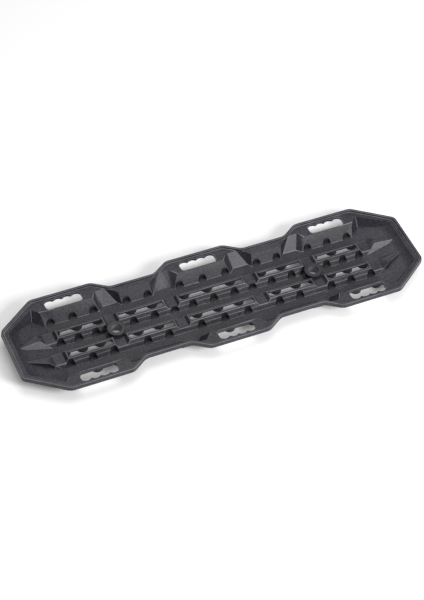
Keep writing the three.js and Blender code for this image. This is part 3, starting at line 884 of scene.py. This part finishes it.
def mark_highlight_edges(piece):
    """Marks the narrow faces that round an edge off, which get a painted highlight along the edge."""

    def narrow(face):
        corners = [piece.data.vertices[index].co for index in face.vertices]
        longest = max((a - b).length for a, b in zip(corners, corners[1:] + corners[:1]))
        return face.area < longest * HIGHLIGHT_FACE_WIDTH * MM and longest > HIGHLIGHT_FACE_LENGTH * MM

    mark_faces(piece, "edge_highlight", narrow)


def mark_scoop_shade(piece):
    """Marks the hollow faces of the arched scoops, which get painted shade that darkens them."""
    reach = SCOOP_TOP_RADIUS + SCOOP_MARGIN
    axes = [(x, y) for y, places, _ in scoop_rows() for x in places]

    def scoop_at(x, y):
        near = (index for index, (at_x, at_y) in enumerate(axes)
                if abs(x - at_x) < reach and math.hypot(x - at_x, y - at_y) < reach)
        return next(near, None)

    scoop_of = [scoop_at(vertex.co.x / MM, vertex.co.y / MM) for vertex in piece.data.vertices]

    def in_one_scoop(face):
        touched = {scoop_of[index] for index in face.vertices}
        above_floor = face.center.z > (FLOOR_TOP + SCOOP_FLOOR_MARGIN) * MM
        return above_floor and len(touched) == 1 and None not in touched

    mark_faces(piece, "scoop_shade", in_one_scoop)


def tinted(tree, base, colour, factor):
    """Lays a colour over another by a factor."""
    mix = add_node(tree, "ShaderNodeMix", {"data_type": "RGBA"}, {"Factor": factor, "A": base})
    mix.inputs["B"].default_value = linear(colour)
    return mix.outputs["Result"]


def charcoal_nylon(name, dark, light, roughness, grain_depth):
    """Charcoal nylon: broad cloudy tone, speckle and grain from the mould, a painted highlight on narrow
    edge faces, and painted shade in the scoops.
    """
    material, tree = new_material(name)
    place = add_node(tree, "ShaderNodeTexCoord").outputs["Object"]
    cloud = add_node(tree, "ShaderNodeTexNoise", {"Scale": CLOUD_SCALE, "Detail": 4.0},
                     {"Vector": place}).outputs["Fac"]
    grain = add_node(tree, "ShaderNodeTexNoise", {"Scale": GRAIN_SCALE, "Detail": 3.0, "Roughness": 0.7},
                     {"Vector": place}).outputs["Fac"]
    mottle = add_node(tree, "ShaderNodeMix", {"data_type": "FLOAT", "Factor": GRAIN_SHARE},
                      {"A": cloud, "B": grain})
    spread = add_node(tree, "ShaderNodeMapRange", {"From Min": TONE_RANGE[0], "From Max": TONE_RANGE[1]},
                      {"Value": mottle.outputs["Result"]})
    tone = add_node(tree, "ShaderNodeMix", {"data_type": "RGBA"}, {"Factor": spread.outputs["Result"]})
    tone.inputs["A"].default_value = linear(dark)
    tone.inputs["B"].default_value = linear(light)
    edge_highlight = add_node(tree, "ShaderNodeAttribute", {"attribute_name": "edge_highlight"})
    edge_highlight_share = add_node(tree, "ShaderNodeMath", {"operation": "MULTIPLY"})
    tree.links.new(edge_highlight.outputs["Fac"], edge_highlight_share.inputs[0])
    tree.links.new(cloud, edge_highlight_share.inputs[1])
    scoop_shade = add_node(tree, "ShaderNodeAttribute", {"attribute_name": "scoop_shade"})
    # painted highlight: paler colour on the narrow faces along rounded edges, varied by the clouds
    colour = tinted(tree, tone.outputs["Result"], EDGE_HIGHLIGHT_TONE, edge_highlight_share.outputs["Value"])
    # painted shade: near-black colour on the faces inside the scoops
    colour = tinted(tree, colour, SCOOP_SHADE_TONE, scoop_shade.outputs["Fac"])
    gloss = add_node(tree, "ShaderNodeMapRange",
                     {"To Min": roughness - GLOSS_SPREAD, "To Max": roughness + GLOSS_SPREAD},
                     {"Value": cloud})
    bump = add_node(tree, "ShaderNodeBump", {"Strength": 0.6, "Distance": grain_depth * MM},
                    {"Height": grain})
    skin = add_node(tree, "ShaderNodeBsdfPrincipled", {"IOR": NYLON_IOR},
                    {"Base Color": colour, "Roughness": gloss.outputs["Result"],
                     "Normal": bump.outputs["Normal"]})
    add_node(tree, "ShaderNodeOutputMaterial", {}, {"Surface": skin.outputs["BSDF"]})
    return material


def moulded_nylon():
    """Injection-moulded nylon from a spark-eroded mould: dark, semi-matt and finely speckled."""
    return charcoal_nylon("moulded_nylon", dark="#08070b", light="#302d37", roughness=0.48, grain_depth=1.1)


def smooth_nylon():
    """Nylon from a smoother mould: the same dark tone, a little glossier and more even."""
    return charcoal_nylon("smooth_nylon", dark="#151318", light="#211f25", roughness=0.36, grain_depth=0.2)


def studio_floor():
    """Matt white studio paper, lit through from below so that it reads as plain white."""
    material, tree = new_material("studio_paper")
    paper = add_node(tree, "ShaderNodeBsdfPrincipled",
                     {"Base Color": linear("#f4f4f4"), "Roughness": 0.9, "Emission Color": (1, 1, 1, 1),
                      "Emission Strength": 0.1})
    add_node(tree, "ShaderNodeOutputMaterial", {}, {"Surface": paper.outputs["BSDF"]})
    deselect_all()
    bpy.ops.mesh.primitive_plane_add(size=PAPER_SIZE, location=(0, 0, -PAPER_DROP))
    floor = bpy.context.object
    floor.name = "studio_floor"
    floor.data.materials.append(material)


def soft_light(name, towards, distance, size, watts):
    """A square soft light that looks at the board from a direction."""
    direction = Vector(towards).normalized()
    light = bpy.data.lights.new(name, "AREA")
    light.shape = "SQUARE"
    light.size = size
    light.energy = watts
    lamp = bpy.data.objects.new(name, light)
    lamp.location = direction * distance
    lamp.rotation_euler = direction.to_track_quat("Z", "Y").to_euler()
    bpy.context.collection.objects.link(lamp)


def studio_lights():
    soft_light("front_right_softbox", towards=(0.4, -0.72, 0.58), distance=3.0, size=1.1, watts=84)
    soft_light("overhead_softbox", towards=(0.1, 0.3, 1.0), distance=3.4, size=2.4, watts=46)
    world = bpy.data.worlds.new("studio_air")
    world.use_nodes = True
    world.node_tree.nodes["Background"].inputs["Color"].default_value = (1, 1, 1, 1)
    world.node_tree.nodes["Background"].inputs["Strength"].default_value = 0.4
    bpy.context.scene.world = world
    bpy.context.scene.view_settings.view_transform = "Standard"


def studio_camera():
    """The viewpoint, from the front left, looking down at 49 degrees."""
    azimuth = math.radians(CAMERA_AZIMUTH)
    elevation = math.radians(CAMERA_ELEVATION)
    roll = math.radians(CAMERA_ROLL)
    back = Vector((math.sin(azimuth) * math.cos(elevation), -math.cos(azimuth) * math.cos(elevation),
                   math.sin(elevation)))
    right = (-back).cross(Vector((0, 0, 1))).normalized()
    up = right.cross(-back)
    turned_right = right * math.cos(roll) + up * math.sin(roll)
    turned_up = up * math.cos(roll) - right * math.sin(roll)
    camera = bpy.data.cameras.new("studio_camera")
    camera.sensor_width = SENSOR_WIDTH
    camera.lens = CAMERA_LENS
    holder = bpy.data.objects.new("studio_camera", camera)
    holder.matrix_world = Matrix.Translation(Vector(CAMERA_TARGET) + back * CAMERA_DISTANCE) @ Matrix(
        (turned_right, turned_up, back)).transposed().to_4x4()
    bpy.context.collection.objects.link(holder)
    bpy.context.scene.camera = holder


def finish_piece(piece, node, material):
    piece.data.materials.clear()
    piece.data.materials.append(material)
    mark_highlight_edges(piece)
    mark_scoop_shade(piece)
    smooth(piece)
    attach(piece, "root")
    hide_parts(node)


studio_camera()
studio_lights()
studio_floor()
board_finish = moulded_nylon()
bushing_finish = smooth_nylon()
finish_piece(make_board(), "board", board_finish)
for word, end in (("left", -1), ("right", 1)):
    bushing = make_bushing(f"flanged_bushing_{word}", end * BUSHING_X)
    finish_piece(bushing, f"mount_bushing_{word}", bushing_finish)
    nut = make_nut(f"notched_nut_{word}", end * BUSHING_X)
    finish_piece(nut, f"ring_nut_{word}", bushing_finish)
